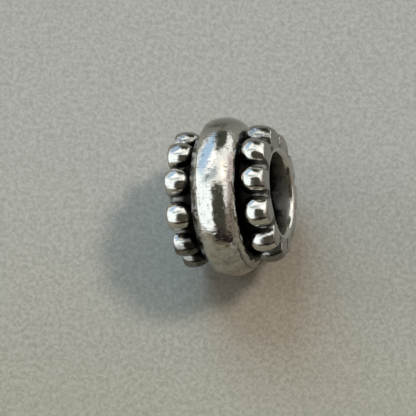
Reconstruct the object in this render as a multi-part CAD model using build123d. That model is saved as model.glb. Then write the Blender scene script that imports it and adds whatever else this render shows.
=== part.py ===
from build123d import *
import math
import os

# European charm bead, cast in one piece of silver: a short sleeve around the bore, a half-round
# band around its middle and a row of domed granules around each end.
# Millimetres. The bead is drawn with its bore along X and its middle at the origin, then tipped
# on to the surface as it comes to rest: on the band and on two granules of the lower row.

# Bore and sleeve
bore_diameter = 4.8
sleeve_wall = 0.75
bead_length = 6.15
lip_radius = 0.18
sleeve_end_radius = 0.5

# Central band
band_diameter = 9.5
band_width = 2.8
band_crown = 1.2           # height of the rounded part over the straight flanks
band_shift = -0.1          # the band sits a little nearer the lower row

# Granule rows
granule_count = 11         # in each row
granule_diameter = 1.5
granule_height = 0.92      # above the sleeve
granule_dome = 0.6         # height of the rounded part
granule_corner = 0.48      # radius of the dome's shoulder
granule_end_gap = 0.025    # from a granule's outer side to the end face

# Worked out from the sizes above
bore_radius = bore_diameter / 2
sleeve_radius = bore_radius + sleeve_wall
foot_radius = bore_radius + sleeve_wall / 2
half_length = bead_length / 2
half_band = band_width / 2
band_shoulder = band_diameter / 2 - band_crown
granule_radius = granule_diameter / 2
granule_top = sleeve_radius + granule_height
granule_shoulder = granule_top - granule_dome
row_offset = half_length - granule_end_gap - granule_radius

# The dome is a cap that runs smoothly into the shoulder
shoulder_reach = granule_radius - granule_corner
cap_rise = shoulder_reach**2 + granule_dome**2 - granule_corner**2
cap_radius = cap_rise / (2 * (granule_dome - granule_corner))
cap_middle = granule_top - cap_radius
cap_lean = math.atan2(shoulder_reach, granule_shoulder - cap_middle)


def turned(outline):
    """Turn a closed outline in the XZ plane once around the bore's axis."""
    return revolve(Plane.XZ * make_face(outline), Axis.X)


def sleeve():
    """Core of the bead with rounded ends, still solid."""
    end_flat = sleeve_radius - sleeve_end_radius
    sleeve_end = half_length - sleeve_end_radius
    right_end = [
        Line((half_length, 0), (half_length, end_flat)),
        RadiusArc((half_length, end_flat), (sleeve_end, sleeve_radius), -sleeve_end_radius),
    ]
    left_end = [mirror(edge, Plane.YZ) for edge in right_end]
    top = Line((-sleeve_end, sleeve_radius), (sleeve_end, sleeve_radius))
    axis_line = Line((-half_length, 0), (half_length, 0))
    return turned(right_end + [top] + left_end + [axis_line])


def central_band():
    """Band with straight flanks and an elliptical crown, its foot inside the sleeve."""
    left = band_shift - half_band
    right = band_shift + half_band
    return turned([
        Line((left, foot_radius), (right, foot_radius)),
        Line((right, foot_radius), (right, band_shoulder)),
        EllipticalCenterArc((band_shift, band_shoulder), half_band, band_crown, arc_size=180),
        Line((left, band_shoulder), (left, foot_radius)),
    ])


def granule():
    """Domed button that stands up from the bore's axis, its foot inside the sleeve."""
    cap_edge = (cap_radius * math.sin(cap_lean), cap_middle + cap_radius * math.cos(cap_lean))
    outline = make_face([
        Line((0, foot_radius), (granule_radius, foot_radius)),
        Line((granule_radius, foot_radius), (granule_radius, granule_shoulder)),
        RadiusArc((granule_radius, granule_shoulder), cap_edge, -granule_corner),
        RadiusArc(cap_edge, (0, granule_top), -cap_radius),
        Line((0, granule_top), (0, foot_radius)),
    ])
    return revolve(Plane.XZ * outline, Axis.Z)


def granule_row(offset):
    """Granules spaced evenly around the sleeve; two of them straddle the underside."""
    spacing = 360 / granule_count
    standing = Pos(offset, 0, 0) * granule()
    return [Rot(180 + spacing * (place + 0.5), 0, 0) * standing for place in range(granule_count)]


def bore():
    """Passage for the bracelet, its mouths opening out over the rounded lips."""
    wall_end = half_length - lip_radius
    mouth_radius = bore_radius + lip_radius
    beyond = half_length + lip_radius
    right_half = [
        Line((0, bore_radius), (wall_end, bore_radius)),
        RadiusArc((wall_end, bore_radius), (half_length, mouth_radius), lip_radius),
        Line((half_length, mouth_radius), (beyond, mouth_radius)),
        Line((beyond, mouth_radius), (beyond, 0)),
    ]
    left_half = [mirror(edge, Plane.YZ) for edge in right_half]
    axis_line = Line((-beyond, 0), (beyond, 0))
    return turned(right_half + left_half + [axis_line])


def band_depth(tip):
    """Depth of the band's underside below the bead's middle at a tip of the bore."""
    crown_reach = math.hypot(half_band * math.sin(tip), band_crown * math.cos(tip))
    return band_shoulder * math.cos(tip) - band_shift * math.sin(tip) + crown_reach


def row_depth(tip):
    """Depth of the two lowest granules of the lower row below the bead's middle."""
    upright = math.cos(tip) * math.cos(math.pi / granule_count)
    return cap_middle * upright + row_offset * math.sin(tip) + cap_radius


def rest_tip():
    """Tip of the bore above the surface at which the band and the lower row both touch it."""
    low, high = 0.0, math.pi / 4
    while high - low > 1e-9:
        tip = (low + high) / 2
        if row_depth(tip) < band_depth(tip):
            low = tip
        else:
            high = tip
    return low


rows = granule_row(-row_offset) + granule_row(row_offset)
cast_bead = sleeve() + central_band() + rows - bore()

# Tip the bead to its rest, then set the origin on the surface under the middle of its box
tip = rest_tip()
tipped_bead = Rot(0, -math.degrees(tip), 0) * cast_bead
box = tipped_bead.bounding_box()
middle = Vector(-box.center().X, -box.center().Y, -box.min.Z)
rested_bead = Pos(middle) * tipped_bead

os.makedirs("parts", exist_ok=True)
export_step(rested_bead, "parts/cast_bead.step")

print("tip in degrees", round(math.degrees(tip), 3))
print("middle of the bore", [round(value, 4) for value in middle])
print("bore axis", round(math.cos(tip), 6), 0, round(math.sin(tip), 6))
print("straight wall of the bore", bead_length - 2 * lip_radius)
print("underside of the band below the middle", round(band_depth(tip), 4))
print("volume", round(rested_bead.volume, 3))
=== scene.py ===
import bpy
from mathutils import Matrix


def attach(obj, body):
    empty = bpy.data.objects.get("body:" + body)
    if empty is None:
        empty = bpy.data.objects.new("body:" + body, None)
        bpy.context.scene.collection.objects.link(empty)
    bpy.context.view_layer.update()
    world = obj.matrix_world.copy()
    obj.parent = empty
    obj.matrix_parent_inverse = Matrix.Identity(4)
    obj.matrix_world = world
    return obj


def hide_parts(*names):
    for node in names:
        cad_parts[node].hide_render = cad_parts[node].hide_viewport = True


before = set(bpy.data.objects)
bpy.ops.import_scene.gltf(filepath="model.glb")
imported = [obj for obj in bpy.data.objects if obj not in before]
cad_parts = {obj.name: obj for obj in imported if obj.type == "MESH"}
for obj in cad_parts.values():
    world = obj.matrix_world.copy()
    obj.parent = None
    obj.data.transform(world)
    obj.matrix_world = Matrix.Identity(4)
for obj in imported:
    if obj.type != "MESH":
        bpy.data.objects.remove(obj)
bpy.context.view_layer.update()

import math

import bmesh
import bpy
from mathutils import Matrix, Vector
from mathutils.bvhtree import BVHTree
from mathutils.noise import random_unit_vector, seed_set

# The bead is modelled in millimetres with its bore along X and its middle at the origin.
# At the end it is tipped on to the surface and brought to metres.
# "along" is the way along the bore, "out" the distance from the bore's axis, and "round" the
# turn round it, counted from the bead's top.
rest = {
    "tip": 21.542,                    # degrees that the bore rises
    "middle": (0.025, 0.0, 4.5676),   # of the bore, mm
    "millimetre": 0.001,
}

# Two ways across the bore of the straight bead, square to each other
ways = {
    "back": (0.0, 0.959, 0.282),      # to the bead's back, a little upwards
    "under": (0.0, 0.282, -0.959),    # to its underside, a little backwards
}

camera = {
    "place": (-11.241, -33.214, 119.339),   # mm
    "azimuth": -16.853,
    "elevation": 73.526,
    "roll": 18.169,
    "lens": 174.46,
    "nearest": 0.01,
    "farthest": 2.0,
}

modelling = {
    "upright": (math.pi / 2, 0, 0),   # stands a flat outline in the XZ plane
    "pickMargin": 0.001,              # mm
    "weld": 0.0005,                   # mm
}


def linear(hexColour):
    channels = [int(hexColour[place:place + 2], 16) / 255 for place in (1, 3, 5)]
    return [c / 12.92 if c <= 0.04045 else ((c + 0.055) / 1.055) ** 2.4 for c in channels] + [1.0]


def clearSelection():
    if bpy.context.object and bpy.context.object.mode != "OBJECT":
        bpy.ops.object.mode_set(mode="OBJECT")
    bpy.ops.object.select_all(action="DESELECT")


def choose(*pieces):
    clearSelection()
    for piece in pieces:
        piece.select_set(True)
    bpy.context.view_layer.objects.active = pieces[0]


def editOnly(piece):
    choose(piece)
    bpy.ops.object.mode_set(mode="EDIT")


def applyPlace(piece):
    choose(piece)
    bpy.ops.object.transform_apply(location=True, rotation=True, scale=True)


def applyModifier(piece, kind, settings):
    modifier = piece.modifiers.new(kind.lower(), kind)
    for name, value in settings.items():
        setattr(modifier, name, value)
    choose(piece)
    bpy.ops.object.modifier_apply(modifier=modifier.name)


def pickVertices(piece, test):
    mesh = bmesh.from_edit_mesh(piece.data)
    for vertex in mesh.verts:
        vertex.select = test(vertex.co)
    mesh.select_flush(True)
    mesh.select_flush(False)
    bmesh.update_edit_mesh(piece.data)


def resizePicked(piece, test, factors, centre=(0, 0, 0)):
    pickVertices(piece, test)
    bpy.ops.transform.resize(value=factors, center_override=centre)


def cutAway(point, way, filled=False):
    bpy.ops.mesh.select_all(action="SELECT")
    bpy.ops.mesh.bisect(plane_co=point, plane_no=way, use_fill=filled, clear_outer=True)
    bpy.ops.mesh.select_all(action="SELECT")


def turnRound(piece, steps):
    bpy.ops.mesh.select_all(action="SELECT")
    bpy.ops.mesh.delete(type="ONLY_FACE")
    bpy.ops.mesh.select_all(action="SELECT")
    bpy.ops.mesh.spin(steps=steps, angle=math.tau, center=(0, 0, 0), axis=(1, 0, 0))
    bpy.ops.mesh.select_all(action="SELECT")
    bpy.ops.mesh.remove_doubles(threshold=modelling["weld"])
    bpy.ops.mesh.normals_make_consistent(inside=False)
    bpy.ops.object.mode_set(mode="OBJECT")


# Sleeve round the bore, mm
sleeve = {
    "boreDiameter": 4.8,
    "wall": 0.75,
    "length": 6.1,
    "endRounding": 0.5,
    "endSegments": 10,
    "lipRounding": 0.3,
    "lipSegments": 6,
    "steps": 256,
}


def makeSleeve():
    inner = sleeve["boreDiameter"] / 2
    outer = inner + sleeve["wall"]
    innerEdge = inner + modelling["pickMargin"]
    clearSelection()
    bpy.ops.mesh.primitive_plane_add(size=1, rotation=modelling["upright"],
                                     location=(0, 0, (inner + outer) / 2))
    piece = bpy.context.object
    piece.name = "sleeve"
    piece.scale = (sleeve["length"], sleeve["wall"], 1)
    applyPlace(piece)
    editOnly(piece)
    pickVertices(piece, lambda p: p.z > innerEdge)
    bpy.ops.mesh.bevel(offset=sleeve["endRounding"], segments=sleeve["endSegments"],
                       affect="VERTICES")
    pickVertices(piece, lambda p: p.z < innerEdge)
    bpy.ops.mesh.bevel(offset=sleeve["lipRounding"], segments=sleeve["lipSegments"],
                       affect="VERTICES")
    turnRound(piece, sleeve["steps"])
    print("sleeve", len(piece.data.vertices), "vertices")
    return piece


# Half-round band round the middle, mm
band = {
    "diameter": 9.5,
    "width": 2.8,
    "crown": 1.2,
    "shift": -0.1,                    # it sits a little nearer the lower row
    "foot": 2.8,
    "lowerHalf": 1.7,                 # half length of the crown towards the lower row
    "wornPoint": (-1.0, 0, 4.47),     # the worn edge on that side: a point on it ...
    "wornWay": (-0.78, 0, 0.62),      # ... and the way it faces
    "lowerFlank": -1.46,
    "outlineSteps": 96,
    "steps": 256,
    # Casting pits, most of them on the worn edge: along, round in degrees, out and radius
    "pits": [
        (-1.02, 26.7, 4.38, 0.17),
        (-0.94, 9.0, 4.56, 0.11),
        (-0.98, 5.5, 4.52, 0.09),
        (-1.10, 19.5, 4.30, 0.10),
        (-1.00, 41.5, 4.46, 0.13),
        (-0.97, 48.5, 4.52, 0.12),
        (-0.86, 56.0, 4.62, 0.11),
        (0.42, 33.0, 4.71, 0.05),
        (-0.35, -22.0, 4.76, 0.05),
        (0.95, -40.0, 4.40, 0.07),
        (0.10, 115.0, 4.77, 0.06),
        (-0.60, 160.0, 4.66, 0.07),
        (0.70, -130.0, 4.60, 0.07),
    ],
}


def makeBand():
    shoulder = band["diameter"] / 2 - band["crown"]
    shift, margin = band["shift"], modelling["pickMargin"]
    clearSelection()
    bpy.ops.mesh.primitive_circle_add(vertices=band["outlineSteps"], radius=1, fill_type="NGON",
                                      rotation=modelling["upright"], location=(shift, 0, shoulder))
    piece = bpy.context.object
    piece.name = "band"
    piece.scale = (band["width"] / 2, band["crown"], 1)
    applyPlace(piece)
    editOnly(piece)
    resizePicked(piece, lambda p: p.z < shoulder - margin, (1, 1, 0), (0, 0, shoulder))
    bpy.ops.transform.translate(value=(0, 0, band["foot"] - shoulder))
    resizePicked(piece, lambda p: p.x < shift - margin,
                 (band["lowerHalf"] * 2 / band["width"], 1, 1), (shift, 0, 0))
    cutAway(band["wornPoint"], band["wornWay"])
    cutAway((band["lowerFlank"], 0, 0), (-1, 0, 0))
    turnRound(piece, band["steps"])
    cutPits(piece)
    print("band", len(piece.data.vertices), "vertices")
    return piece


def cutPits(piece):
    cutters = []
    for along, around, out, radius in band["pits"]:
        angle = math.radians(around)
        place = (along, -out * math.sin(angle), out * math.cos(angle))
        clearSelection()
        bpy.ops.mesh.primitive_ico_sphere_add(subdivisions=2, radius=radius, location=place)
        cutters.append(bpy.context.object)
    choose(*cutters)
    bpy.ops.object.join()
    cutter = bpy.context.object
    applyModifier(piece, "BOOLEAN", {"operation": "DIFFERENCE", "object": cutter,
                                     "solver": "EXACT"})
    bpy.data.objects.remove(cutter)
    print("pitted", len(piece.data.polygons), "faces")


# Granules: domed buttons with a flat side by the bead's end, mm
granule = {
    "count": 11,
    "radius": 0.75,
    "dome": 0.7,
    "shoulder": 3.39,                 # out
    "foot": 2.52,                     # out
    "segments": 48,
    "rings": 28,
    # Under its dome a granule is drawn out towards the bead's end:
    # from and to a height over the shoulder, and how many times as long
    "legStretch": [
        (-9, 0.04, 1.5),
        (0.04, 0.12, 1.3),
        (0.12, 0.2, 1.18),
        (0.2, 0.27, 1.1),
        (0.27, 0.35, 1.05),
    ],
}

# Each row's way along the bore, how far along its granules and their flat sides stand, and how
# long a granule is from its middle towards the band and towards the end. "single" has the
# granules that differ, by place in the row counted from the bead's top: turned round and lean
# of the flat side in degrees, size along, round and out.
asMade = (0.0, 0.0, 1.0, 1.0, 1.0)
raisedRow = {
    "side": 1,
    "offset": 2.22,
    "endFlat": 3.05,
    "bandSide": 0.735,
    "endSide": 0.95,
    "single": {
        -5: (-5.0, 7.0, 1.0, 1.2, 1.0),
        -4: (-5.0, 7.0, 1.0, 1.3, 1.0),
        -3: (-3.0, 5.0, 1.0, 1.25, 1.0),
        -2: (-2.0, 0.0, 1.3, 1.12, 1.04),
        -1: (0.5, 0.0, 1.14, 1.12, 1.01),
        0: (0.8, 0.0, 1.03, 1.0, 1.0),
        1: (0.8, 0.0, 1.0, 1.14, 1.03),
        2: (1.8, 0.0, 1.06, 0.98, 0.98),
        3: (5.0, 3.0, 1.1, 1.1, 1.0),
        4: (-3.0, 7.0, 1.0, 1.25, 1.0),
        5: (-5.0, 7.0, 1.0, 1.25, 1.0),
    },
}
lowerRow = {
    "side": -1,
    "offset": 2.47,
    "endFlat": 3.01,
    "bandSide": 1.0,
    "endSide": 0.92,
    "single": {
        -5: (0.0, 0.0, 1.0, 1.0, 0.9),
        -1: (-2.0, 0.0, 1.0, 1.08, 1.0),
        0: (-2.0, 0.0, 1.0, 1.05, 1.0),
        1: (0.0, 0.0, 1.0, 1.08, 1.0),
        2: (1.0, 0.0, 1.0, 1.0, 1.0),
        5: (0.0, 0.0, 1.0, 1.0, 0.9),
    },
}


def makeGranule(row):
    radius, margin = granule["radius"], modelling["pickMargin"]
    clearSelection()
    bpy.ops.mesh.primitive_uv_sphere_add(segments=granule["segments"],
                                         ring_count=granule["rings"], radius=radius)
    piece = bpy.context.object
    piece.name = "granule"
    editOnly(piece)
    resizePicked(piece, lambda p: p.z > margin, (1, 1, granule["dome"] / radius))
    resizePicked(piece, lambda p: p.z < -margin, (1, 1, 0))
    bpy.ops.transform.translate(value=(0, 0, granule["foot"] - granule["shoulder"]))
    resizePicked(piece, lambda p: p.x < -margin, (row["bandSide"] / radius, 1, 1))
    resizePicked(piece, lambda p: p.x > margin, (row["endSide"] / radius, 1, 1))
    for low, high, stretch in granule["legStretch"]:
        resizePicked(piece, lambda p: p.x > margin and low < p.z <= high, (stretch, 1, 1))
    cutAway((row["endFlat"] - row["offset"], 0, 0), (1, 0, 0), filled=True)
    bpy.ops.mesh.normals_make_consistent(inside=False)
    bpy.ops.object.mode_set(mode="OBJECT")
    return piece


def placeRow(row):
    side = row["side"]
    pattern = makeGranule(row)
    # A granule leans and grows about the foot of its flat side, which keeps its place
    foot = Vector((row["endFlat"] - row["offset"], 0, granule["foot"] - granule["shoulder"]))
    toEachSide = granule["count"] // 2
    placed = []
    for place in range(-toEachSide, toEachSide + 1):
        turned, lean, sizeAlong, sizeRound, sizeOut = row["single"].get(place, asMade)
        piece = pattern.copy()
        piece.data = pattern.data.copy()
        piece.name = f"granule_{side}_{place}"
        bpy.context.collection.objects.link(piece)
        angle = math.radians(place * 360 / granule["count"] + turned)
        piece.matrix_world = (
            Matrix.Rotation(angle, 4, "X")
            @ Matrix.Rotation(0 if side > 0 else math.pi, 4, "Z")
            @ Matrix.Translation((row["offset"], 0, granule["shoulder"]))
            @ Matrix.Translation(foot)
            @ Matrix.Rotation(-math.radians(lean), 4, "Y")
            @ Matrix.Diagonal((sizeAlong, sizeRound, sizeOut, 1))
            @ Matrix.Translation(-foot)
        )
        applyPlace(piece)
        placed.append(piece)
    bpy.data.objects.remove(pattern)
    print("row of", len(placed), "granules")
    return placed


# One casting: the pieces are fused, then smoothed as tumbling does. In mm and degrees
casting = {
    "voxel": 0.073,
    "smoothing": 3,
    "smoothShare": 0.5,
    # Size and depth of the gentle waves that filing leaves and of a worn bead's small dents
    "relief": {
        "fileWaves": (0.75, 0.024),
        "wearDents": (0.22, 0.014),
    },
    "frontSlant": 1.7,                # the raised end leans out at the bead's front ...
    "underSlant": 3.1,                # ... and at its underside
    "slantTwist": 0.031,
    "slantOut": 0.046,                # the whole end stands out by this
    "cage": (6.4, 9.8, 9.8),
    "cageLayers": 4,                  # along the bore, the last of which is moved
}


def clouds(name, size):
    texture = bpy.data.textures.new(name, "CLOUDS")
    texture.noise_scale = size
    return texture


def fuse(pieces):
    choose(*pieces)
    bpy.ops.object.join()
    bead = bpy.context.object
    bead.name = "silver_bead"
    bead.data.name = "silver_bead"
    applyModifier(bead, "REMESH", {"mode": "VOXEL", "voxel_size": casting["voxel"],
                                   "use_smooth_shade": True})
    applyModifier(bead, "SMOOTH", {"factor": casting["smoothShare"],
                                   "iterations": casting["smoothing"]})
    for name, (size, depth) in casting["relief"].items():
        applyModifier(bead, "DISPLACE", {"texture": clouds(name, size), "strength": depth})
    print("fused", len(bead.data.polygons), "faces")
    return bead


def leanEnd(bead):
    size = Vector(casting["cage"])
    clearSelection()
    bpy.ops.object.add(type="LATTICE", location=(0, 0, 0))
    cage = bpy.context.object
    cage.data.points_u, cage.data.points_v, cage.data.points_w = casting["cageLayers"], 2, 2
    cage.data.interpolation_type_u = "KEY_LINEAR"
    cage.scale = size
    bpy.context.view_layer.update()
    frontLean = math.tan(math.radians(casting["frontSlant"]))
    underLean = math.tan(math.radians(casting["underSlant"]))
    raisedEnd = max(point.co.x for point in cage.data.points)
    for point in cage.data.points:
        if point.co.x == raisedEnd:
            front = -(point.co * size).dot(Vector(ways["back"]))
            under = (point.co * size).dot(Vector(ways["under"]))
            shift = frontLean * front + underLean * under - casting["slantTwist"] * front * under
            point.co_deform.x += (shift + casting["slantOut"]) / size.x
    applyModifier(bead, "LATTICE", {"object": cage})
    bpy.data.objects.remove(cage)
    print("raised end leaned")


# How open each point of the surface is: the polishing wheel reaches the open ones
wear = {
    "rays": 24,
    "reach": 2.2,                     # mm
    "start": 0.02,                    # mm over the surface
    "seed": 7,
}


def measureOpenness(bead):
    seed_set(wear["seed"])
    rays = [random_unit_vector() for ray in range(wear["rays"])]
    mesh = bead.data
    tree = BVHTree.FromPolygons([vertex.co.copy() for vertex in mesh.vertices],
                                [tuple(face.vertices) for face in mesh.polygons])
    values = []
    for vertex in mesh.vertices:
        normal = vertex.normal
        origin = vertex.co + normal * wear["start"]
        free, total = 0.0, 0.0
        for ray in rays:
            facing = ray.dot(normal)
            direction = ray if facing > 0 else -ray
            weight = abs(facing)
            total += weight
            if tree.ray_cast(origin, direction, wear["reach"])[0] is None:
                free += weight
        values.append(free / total)
    attribute = mesh.attributes.new("openness", "FLOAT", "POINT")
    attribute.data.foreach_set("value", values)
    print("openness from", round(min(values), 2), "to", round(max(values), 2))


def keepPlaces(bead):
    # Places on the straight bead in mm, which the finish follows
    places = bead.data.attributes.new("beadPlace", "FLOAT_VECTOR", "POINT")
    places.data.foreach_set("vector", [share for vertex in bead.data.vertices
                                       for share in vertex.co])


def lay(bead):
    tip = Matrix.Rotation(-math.radians(rest["tip"]), 4, "Y")
    size = Matrix.Scale(rest["millimetre"], 4)
    bead.matrix_world = size @ Matrix.Translation(rest["middle"]) @ tip
    applyPlace(bead)
    low = min(vertex.co.z for vertex in bead.data.vertices)
    print("lowest point before it is set down", round(low / rest["millimetre"], 4), "mm")
    bead.location.z = -low
    applyPlace(bead)


def addNode(tree, kind, settings):
    # A node or a socket among the settings is linked, and anything else is set
    node = tree.nodes.new(kind)
    for name, value in settings.items():
        if isinstance(value, bpy.types.Node):
            value = value.outputs[0]
        if isinstance(value, bpy.types.NodeSocket):
            tree.links.new(value, node.inputs[name])
        elif isinstance(name, int) or name in node.inputs:
            node.inputs[name].default_value = value
        else:
            setattr(node, name, value)
    return node


# Sterling silver, lost-wax cast, blackened with liver of sulphur and polished back on what
# stands proud. It gives the eye bright, slightly scratched metal against black seams, with painted
# shade on some granules and painted light in the bore.
#
# The masks are lists of zones, which count where all of them meet. A zone says what is
# measured, its start and end, how strong it is at each, and then the grain that moves its edge
# and how far. A word alone stands for a mask made before. Measured in mm: "along" and "out" as
# above, "end" along to either end, "band" along from the band's middle, "side" the same to
# either side, "back" and "under" as the ways above. "open" is the openness, and "wave" is 1 at
# each granule's middle and -1 between two.
silver = {
    "metal": "#C6C1B7",
    "filmAndShade": "#4C4845",                # thin tarnish that the wheel left, and painted shade where marked below
    "patina": "#12100D",
    "bore": "#BEB7AB",
    "patinaRoughness": 0.4,
    "boreRoughness": 0.42,
    "metalRoughness": [("blotches", 0.0, 0.25, 0.12, 0.3)],    # from 0.12 to 0.3
    "scratchDepth": 0.007,            # mm
    # Grain that breaks up the finish: mm along the bore, mm across it, and detail. The
    # scratches are drawn coarser than the real ones so that they show.
    "grainRoughness": 0.6,
    "grains": {
        "blotches": (0.45, 0.45, 4),
        "specks": (0.15, 0.15, 4),
        "streaks": (0.5, 0.15, 4),
        "marks": (0.27, 0.6, 4),
        "scratches": (0.5, 0.11, 3),
    },
    "grainSums": {
        "patches": ("specks", "blotches"),
        "flecks": ("specks", "streaks"),
    },
    # Distance to either side of a line: what is measured, the line's place, its grain and how far
    "lines": {
        "backArc": ("back", 4.22, "specks", 1.0),
        "edgeLine": ("band", 1.1, "specks", 0.35),
        # middle of the painted highlight in the bore
        "boreMiddle": ("back", -0.35),
    },
    "shared": {
        "openEnough": [("open", 0.34, 0.5, 0, 1, "blotches", 0.35)],
        "crown": [("side", 1.4, 1.46, 1, 0)],
        "rows": [("end", 1.5, 1.7, 0, 1)],
        "lowerRow": [("along", -1.7, -1.6, 1, 0)],
        "valley": [("wave", -0.75, -0.4, 1, 0, "specks", 0.5), ("under", -0.5, 1.5, 1, 0.3)],
        "toBore": [("back", 0.6, 1.2, 1, 0), ("under", -2.2, -1.5, 1, 0)],
    },
    "valleyFoot": [("out", 2.52, 2.64, 0, 1)],
    "rowRise": [("end", 2.3, 2.7, 0, 0.25)],      # the wheel reached deeper by the ends
    # What the wheel polished
    "polish": {
        "raised": [("height", 3.51, 3.65, 0, 1, "blotches", 0.3)],
        "webs": ["openEnough", ("end", 2.0, 2.5, 0, 0.3)],
        "flatSides": ["openEnough", ("end", 2.9, 2.97, 0, 1), "offValleys"],
        "lowFlats": ["openEnough", ("along", -2.93, -2.9, 1, 0)],
        "lips": [("out", 2.68, 2.78, 1, 0), ("end", 2.76, 2.86, 0, 1), "offBoreValleys"],
    },
    # The black grooves go up the band's flanks
    "flanks": [("side", 1.12, 1.2, 0, 1), ("side", 1.48, 1.56, 1, 0),
               ("out", 3.91, 4.01, 1, 0, "blotches", 0.5)],
    # Thin film of tarnish, first on the band and then on the rest; entries marked below are
    # painted shade or only darker by place
    "filmsAndShade": {
        # tarnish on the band's flank by the lower row, deepened as painted shade
        "wornEdgeAndShade": [("band", -0.86, -0.76, 1, 0), ("side", 1.46, 1.54, 1, 0),
                     ("out", 4.41, 4.53, 1, 0, "specks", 0.6),
                     ("patches", -0.15, 0.15, 0.5, 0.95)],
        "nicks": [("streaks", 0.03, 0.12, 0, 0.85), ("band", -0.86, -0.6, 1, 0),
                  ("back", -2.0, -1.2, 1, 0)],
        # darker towards the bead's back, on the crown
        "back": ["crown", ("back", 3.3, 4.5, 0, 0.5, "blotches", 0.5)],
        # a darker line round the crown towards its back
        "backArc": ["crown", ("backArc", 0.05, 0.22, 0.85, 0), ("band", 0.5, 0.8, 1, 0),
                 ("band", -0.8, -0.1, 0.3, 1)],
        # a darker line along the crown's edge by the raised row, towards the front
        "edgeLine": ["crown", ("edgeLine", 0.02, 0.09, 0.85, 0), ("back", -3.1, -2.3, 1, 0)],
        "edgeSpots": ["crown", ("streaks", 0.02, 0.12, 0, 0.5), ("band", 0.72, 0.95, 0, 1)],
        "marks": ["crown", ("marks", 0.0, 0.25, 0, 0.5, "specks", 0.5)],
        "pits": ["crown", ("open", 0.84, 0.93, 1, 0), ("out", 4.22, 4.3, 0, 1)],
        "spots": [("blotches", 0.16, 0.26, 0, 0.55, "specks", 0.5)],
        "flatSides": [("specks", -0.2, 0.2, 0.35, 0.62), ("end", 2.94, 3.0, 0, 1),
                      ("out", 2.66, 2.72, 0, 1)],
        # darker in patches towards the bead's front
        "front": [("back", -4.0, -2.6, 1, 0), ("patches", -0.2, 0.25, 0.1, 0.6)],
        # painted shade: the granules furthest to the bead's front are darkened
        "lowestDomes": ["rows", ("back", -3.5, -3.1, 0.7, 0)],
        # painted shade: patchy darkening of the granule domes towards the bead's back
        "upperDomes": ["rows", ("back", 2.7, 3.3, 0, 0.6, "blotches", 1.5),
                       ("flecks", -0.2, 0.05, 0.15, 1)],
        # painted shade: the lower row's domes are darkened towards the bead's front
        "lowerDomes": ["lowerRow", ("back", -2.8, -2.4, 0.7, 0, "blotches", 0.5)],
        # painted shade: the lower row's granules are darkened on their sides towards the band,
        # towards the front
        "shadedSides": ["lowerRow", ("back", -1.9, -1.3, 1, 0), ("along", -2.6, -2.1, 0, 0.95)],
    },
    "scratchFilm": [("scratches", 0.02, 0.22, 0, 0.3)],
    # The wall of the bore, half polished by its mouths, with painted light towards the bead's back
    # and a painted highlight along it
    "inBore": [("out", 2.44, 2.5, 1, 0), ("end", 2.72, 2.84, 1, 0)],
    "paintedBoreLight": {
        # painted light: the bore's wall is lighter towards the bead's back
        "upper": [("back", -0.1, 0.3, 0, 0.12, "blotches", 0.8)],
        # painted highlight: a lighter streak along the bore, a little to the front of its middle
        "middle": [("boreMiddle", 0.35, 0.8, 0.3, 0)],
    },
    "mouths": [("fromMouth", 2.05, 2.8, 0.03, 1, "blotches", 1.0)],
}


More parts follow.
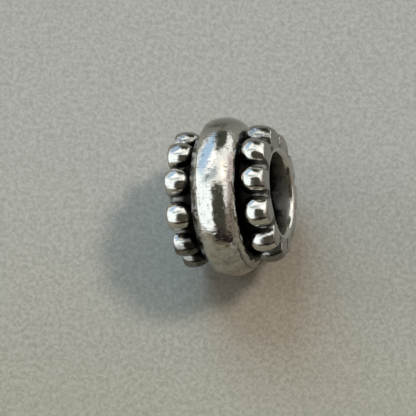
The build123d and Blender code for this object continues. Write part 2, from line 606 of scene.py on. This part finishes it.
def antiquedSilver():
    material = bpy.data.materials.new("antiqued_sterling_silver")
    material.use_nodes = True
    tree = material.node_tree
    shader = tree.nodes["Principled BSDF"]
    measures, masks = {}, {}

    def moved(name, grain=None, share=0.0):
        if grain is None:
            return measures[name]
        return addNode(tree, "ShaderNodeMath", {
            "operation": "MULTIPLY_ADD", 0: measures[grain], 1: share, 2: measures[name]})

    def within(zones):
        whole = None
        for zone in zones:
            if zone in masks:
                part = masks[zone]
            else:
                name, start, end, atStart, atEnd, *grain = zone
                part = addNode(tree, "ShaderNodeMapRange", {
                    "interpolation_type": "SMOOTHSTEP", "Value": moved(name, *grain),
                    "From Min": start, "From Max": end, "To Min": atStart, "To Max": atEnd})
            whole = part if whole is None else addNode(tree, "ShaderNodeMath", {
                "operation": "MULTIPLY", 0: whole, 1: part})
        return whole

    def strongest(shares):
        most = shares[0]
        for share in shares[1:]:
            most = addNode(tree, "ShaderNodeMath", {"operation": "MAXIMUM", 0: most, 1: share})
        return most

    def outside(share):
        return addNode(tree, "ShaderNodeMath", {"operation": "SUBTRACT", 0: 1, 1: share})

    # What the zones measure
    place = addNode(tree, "ShaderNodeAttribute", {"attribute_name": "beadPlace"}).outputs["Vector"]
    opened = addNode(tree, "ShaderNodeAttribute", {"attribute_name": "openness"}).outputs["Fac"]
    split = addNode(tree, "ShaderNodeSeparateXYZ", {0: place})
    along = split.outputs["X"]
    across = addNode(tree, "ShaderNodeVectorMath", {
        "operation": "MULTIPLY", 0: place, 1: (0, 1, 1)})
    out = addNode(tree, "ShaderNodeVectorMath", {"operation": "LENGTH", 0: across})
    fromBand = addNode(tree, "ShaderNodeMath", {
        "operation": "SUBTRACT", 0: along, 1: band["shift"]})
    leftward = addNode(tree, "ShaderNodeMath", {
        "operation": "MULTIPLY", 0: split.outputs["Y"], 1: -1})
    turn = addNode(tree, "ShaderNodeMath", {
        "operation": "ARCTAN2", 0: leftward, 1: split.outputs["Z"]})
    waves = addNode(tree, "ShaderNodeMath", {
        "operation": "MULTIPLY", 0: turn, 1: granule["count"]})
    measures.update({
        "open": opened,
        "along": along,
        "out": out.outputs["Value"],
        "end": addNode(tree, "ShaderNodeMath", {"operation": "ABSOLUTE", 0: along}),
        "band": fromBand,
        "side": addNode(tree, "ShaderNodeMath", {"operation": "ABSOLUTE", 0: fromBand}),
        "wave": addNode(tree, "ShaderNodeMath", {"operation": "COSINE", 0: waves}),
    })
    for name, way in ways.items():
        reach = addNode(tree, "ShaderNodeVectorMath", {
            "operation": "DOT_PRODUCT", 0: place, 1: way})
        measures[name] = reach.outputs["Value"]
    for name, (lengthwise, crosswise, detail) in silver["grains"].items():
        scaled = addNode(tree, "ShaderNodeMapping", {
            "Vector": place, "Scale": (1 / lengthwise, 1 / crosswise, 1 / crosswise)})
        grain = addNode(tree, "ShaderNodeTexNoise", {
            "Vector": scaled, "Scale": 1, "Detail": detail, "Roughness": silver["grainRoughness"]})
        measures[name] = addNode(tree, "ShaderNodeMath", {
            "operation": "SUBTRACT", 0: grain, 1: 0.5})     # as much under zero as over it
    for name, (first, second) in silver["grainSums"].items():
        measures[name] = addNode(tree, "ShaderNodeMath", {
            "operation": "ADD", 0: measures[first], 1: measures[second]})
    for name, (measured, middle, *grain) in silver["lines"].items():
        offset = addNode(tree, "ShaderNodeMath", {
            "operation": "SUBTRACT", 0: moved(measured, *grain), 1: middle})
        measures[name] = addNode(tree, "ShaderNodeMath", {"operation": "ABSOLUTE", 0: offset})
    measures["height"] = addNode(tree, "ShaderNodeMath", {
        "operation": "ADD", 0: measures["out"], 1: within(silver["rowRise"])})

    # Where the wheel reached. The valleys between the granules stay black
    for name, zones in silver["shared"].items():
        masks[name] = within(zones)
    masks["overFoot"] = strongest([within(silver["valleyFoot"]), masks["toBore"]])
    masks["blackValley"] = within(["valley", "overFoot"])
    masks["offValleys"] = outside(masks["blackValley"])
    masks["offBoreValleys"] = outside(within(["toBore", "blackValley"]))
    masks["polished"] = strongest([within(zones) for zones in silver["polish"].values()])
    masks["offFlanks"] = outside(within(silver["flanks"]))
    polished = within(["polished", "offFlanks"])
    # Tarnish film together with painted shade, in the same dark colour
    filmAndShade = strongest([within(zones) for zones in silver["filmsAndShade"].values()])
    filmAndShade = addNode(tree, "ShaderNodeMath", {
        "operation": "ADD", "use_clamp": True, 0: filmAndShade, 1: within(silver["scratchFilm"])})

    inBore = within(silver["inBore"])
    paintedBoreLight = strongest([within(zones) for zones in silver["paintedBoreLight"].values()])
    # How far in from a mouth, shifted by the painted light in the bore
    measures["fromMouth"] = addNode(tree, "ShaderNodeMath", {
        "operation": "ADD", 0: measures["end"], 1: paintedBoreLight})
    # Where the metal shows: polished outside, and in the bore by its mouths and where light is
    # painted
    polishedAndBoreLight = addNode(tree, "ShaderNodeMix", {
        "data_type": "FLOAT", 0: inBore, 2: polished, 3: within(silver["mouths"])})

    metal = addNode(tree, "ShaderNodeMix", {
        "data_type": "RGBA", 0: filmAndShade, 6: linear(silver["metal"]), 7: linear(silver["filmAndShade"])})
    metal = addNode(tree, "ShaderNodeMix", {
        "data_type": "RGBA", 0: inBore, 6: metal.outputs[2], 7: linear(silver["bore"])})
    metal = addNode(tree, "ShaderNodeMix", {
        "data_type": "RGBA", 0: polishedAndBoreLight, 6: linear(silver["patina"]), 7: metal.outputs[2]})
    tree.links.new(metal.outputs[2], shader.inputs["Base Color"])
    shader.inputs["Metallic"].default_value = 1.0

    rough = addNode(tree, "ShaderNodeMix", {
        "data_type": "FLOAT", 0: polishedAndBoreLight, 2: silver["patinaRoughness"],
        3: within(silver["metalRoughness"])})
    boreRough = addNode(tree, "ShaderNodeMath", {
        "operation": "MULTIPLY", 0: inBore, 1: silver["boreRoughness"]})
    tree.links.new(strongest([rough, boreRough]).outputs[0], shader.inputs["Roughness"])

    # Scratches of the polishing wheel run along the bore
    bump = addNode(tree, "ShaderNodeBump", {
        "Strength": 1.0, "Distance": silver["scratchDepth"] * rest["millimetre"],
        "Height": measures["scratches"]})
    tree.links.new(bump.outputs[0], shader.inputs["Normal"])
    print("silver with", len(tree.nodes), "nodes")
    return material


# Pale grey board that the bead lies on: matt, uncoated paper. It gives the eye a fine fibrous
# grain, with painted light: a warmer, darker tone towards its front.
board = {
    "size": 0.6,                      # m
    "colour": "#645743",
    "fibre": "#564B38",
    "fibreSize": 0.25,                # mm, coarser than real paper's so that it shows
    "fibreGrain": {"Detail": 4.0, "Roughness": 0.7, "Distortion": 0.6},
    "fibreContrast": {"From Min": 0.4, "From Max": 0.6},
    # painted light: a warmer, darker tint towards the board's front
    "paintedWarmth": "#F7F4E9",
    "paintedWarmthWay": (-0.02, -1.0, 0.0),
    "paintedWarmthSpan": {"From Min": -0.006, "From Max": 0.014},   # m
    "roughness": 0.7,
}


def mattBoard():
    material = bpy.data.materials.new("matt_grey_board")
    material.use_nodes = True
    tree = material.node_tree
    shader = tree.nodes["Principled BSDF"]
    place = addNode(tree, "ShaderNodeTexCoord", {}).outputs["Object"]
    scale = 1 / (board["fibreSize"] * rest["millimetre"])
    fibres = addNode(tree, "ShaderNodeTexNoise", {
        "Vector": place, "Scale": scale, **board["fibreGrain"]})
    share = addNode(tree, "ShaderNodeMapRange", {"Value": fibres, **board["fibreContrast"]})
    tone = addNode(tree, "ShaderNodeMix", {
        "data_type": "RGBA", 0: share, 6: linear(board["fibre"]), 7: linear(board["colour"])})
    # painted light: the board's tone is tinted warmer and darker towards its front
    towards = addNode(tree, "ShaderNodeVectorMath", {
        "operation": "DOT_PRODUCT", 0: place, 1: board["paintedWarmthWay"]})
    paintedWarmthShare = addNode(tree, "ShaderNodeMapRange", {
        "interpolation_type": "SMOOTHSTEP", "Value": towards.outputs["Value"],
        **board["paintedWarmthSpan"]})
    paintedWarmth = addNode(tree, "ShaderNodeMix", {
        "data_type": "RGBA", "blend_type": "MULTIPLY", 0: paintedWarmthShare, 6: tone.outputs[2],
        7: linear(board["paintedWarmth"])})
    tree.links.new(paintedWarmth.outputs[2], shader.inputs["Base Color"])
    shader.inputs["Roughness"].default_value = board["roughness"]
    return material


def makeFloor():
    clearSelection()
    bpy.ops.mesh.primitive_plane_add(size=board["size"], location=(0, 0, 0))
    floor = bpy.context.object
    floor.name = "floor"
    floor.data.materials.append(mattBoard())
    print("board laid")


# Soft studio light: a bright room with soft cards round the camera, seen in the metal.
# Each card is a rounded rectangle as seen from the bead: degrees to the right of the camera
# and above it, half its width and height, how soft its edge is, its turn, colour and
# brightness. A later card covers an earlier one.
studio = {
    "lampHeight": 0.3,                # m
    "room": ("#F3F8FA", 1.75),
    "cards": {
        "left":       (-56, -5, 36, 46, 0.2, 0, "#EAF6FF", 2.0),
        "window":     (-22, 54, 20, 12, 0.4, 12, "#F4FAFF", 2.2),
        "blue":       (-39, 70, 37, 14, 0.3, 52, "#A2C1E2", 1.9),
        "paleStripe": (-21, 32, 27, 7, 0.3, 15, "#C0D2DC", 1.25),
        "pink":       (78, 34, 22, 20, 0.4, 0, "#F2E2E6", 1.05),
        "right":      (88, -10, 36, 33, 0.3, 0, "#A39B97", 1.45),
        "lowerRight": (58, -30, 30, 24, 0.3, 20, "#857D74", 1.3),
        "glow":       (34, 33, 9, 12, 0.4, 0, "#FFF4EA", 2.2),
        "key":        (32, 33, 3, 3, 0.5, 0, "#FFF8F2", 5.0),
        "top":        (12, 99, 30, 13, 0.25, -12, "#3C423C", 1.4),
        "topSpur":    (17, 84, 23, 15, 0.3, 8, "#42483F", 1.4),
        "bottom":     (0, -92, 120, 34, 0.06, -8, "#8E8674", 1.03),
        "stand":      (8, -14, 29, 34, 0.12, 0, "#403F37", 1.7),
        "standFoot":  (18, -55, 46, 10, 0.25, 5, "#241B1D", 1.3),
    },
}

# Lamps that light the board without showing in the metal: degrees to the right of the camera
# and above it, the width of the light in degrees, colour and strength
lamps = {
    "keyLamp":    (32, 33, 11, "#CCDBFF", 8.0),
    "windowLamp": (-22, 54, 34, "#8ABCFF", 13.65),
    "lowLamp":    (-60, 21, 26, "#B0CAFF", 5.9),
}


def viewMatrix():
    azimuth, elevation = math.radians(camera["azimuth"]), math.radians(camera["elevation"])
    toCamera = Vector((math.sin(azimuth) * math.cos(elevation),
                       -math.cos(azimuth) * math.cos(elevation), math.sin(elevation)))
    level = toCamera.to_track_quat("Z", "Y").to_matrix().to_4x4()
    return level @ Matrix.Rotation(math.radians(camera["roll"]), 4, "Z")


def makeCamera():
    data = bpy.data.cameras.new("camera")
    data.lens = camera["lens"]
    data.clip_start = camera["nearest"]
    data.clip_end = camera["farthest"]
    viewer = bpy.data.objects.new("camera", data)
    bpy.context.collection.objects.link(viewer)
    place = Vector(camera["place"]) * rest["millimetre"]
    viewer.matrix_world = Matrix.Translation(place) @ viewMatrix()
    bpy.context.scene.camera = viewer
    print("camera placed")


def makeLamps():
    for name, (right, up, width, colour, strength) in lamps.items():
        away = math.radians(math.hypot(right, up))
        turn = math.atan2(up, right)
        way = Vector((math.sin(away) * math.cos(turn), math.sin(away) * math.sin(turn),
                      math.cos(away)))
        clearSelection()
        bpy.ops.object.light_add(type="SUN", location=(0, 0, studio["lampHeight"]))
        lamp = bpy.context.object
        lamp.name = name
        lamp.rotation_euler = (viewMatrix().to_3x3() @ way).to_track_quat("Z", "Y").to_euler()
        lamp.data.angle = math.radians(width)
        lamp.data.color = linear(colour)[:3]
        lamp.data.energy = strength
        lamp.visible_glossy = False
    print(len(lamps), "lamps")


def makeWorld():
    world = bpy.data.worlds.new("studio")
    bpy.context.scene.world = world
    world.use_nodes = True
    tree = world.node_tree

    # A flat chart of the room in degrees, with the camera at its middle
    way = addNode(tree, "ShaderNodeTexCoord", {})
    turned = addNode(tree, "ShaderNodeMapping", {
        "Vector": way.outputs["Generated"], "Rotation": viewMatrix().inverted().to_euler()})
    parts = addNode(tree, "ShaderNodeSeparateXYZ", {0: turned})
    away = addNode(tree, "ShaderNodeMath", {"operation": "ARCCOSINE", 0: parts.outputs["Z"]})
    degrees = addNode(tree, "ShaderNodeMath", {"operation": "DEGREES", 0: away})
    flat = addNode(tree, "ShaderNodeCombineXYZ", {0: parts.outputs["X"], 1: parts.outputs["Y"]})
    unit = addNode(tree, "ShaderNodeVectorMath", {"operation": "NORMALIZE", 0: flat})
    chart = addNode(tree, "ShaderNodeVectorMath", {
        "operation": "SCALE", 0: unit, "Scale": degrees})

    roomColour, roomStrength = studio["room"]
    light = [share * roomStrength for share in linear(roomColour)]
    for name, card in studio["cards"].items():
        right, up, width, height, soft, turn, colour, strength = card
        within = addNode(tree, "ShaderNodeMapping", {
            "vector_type": "TEXTURE",
            "Vector": chart,
            "Location": (right, up, 0),
            "Rotation": (0, 0, math.radians(turn)),
            "Scale": (width, height, 1),
        })
        squared = addNode(tree, "ShaderNodeVectorMath", {
            "operation": "MULTIPLY", 0: within, 1: within})
        reach = addNode(tree, "ShaderNodeVectorMath", {"operation": "LENGTH", 0: squared})
        edge = addNode(tree, "ShaderNodeMapRange", {
            "interpolation_type": "SMOOTHSTEP", "Value": reach.outputs["Value"],
            "From Min": (1 + soft) ** 2, "From Max": (1 - soft) ** 2})
        shown = [share * strength for share in linear(colour)]
        mix = addNode(tree, "ShaderNodeMix", {"data_type": "RGBA", 0: edge, 6: light, 7: shown})
        mix.label = name
        light = mix.outputs[2]
    tree.links.new(light, tree.nodes["Background"].inputs["Color"])
    print("room with", len(studio["cards"]), "cards")


makeCamera()
makeWorld()
makeLamps()
makeFloor()
bead = fuse([makeSleeve(), makeBand()] + placeRow(raisedRow) + placeRow(lowerRow))
keepPlaces(bead)
measureOpenness(bead)
leanEnd(bead)
lay(bead)
bead.data.materials.append(antiquedSilver())
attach(bead, "root")
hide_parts("cast_bead")
bpy.context.scene.view_settings.view_transform = "Standard"
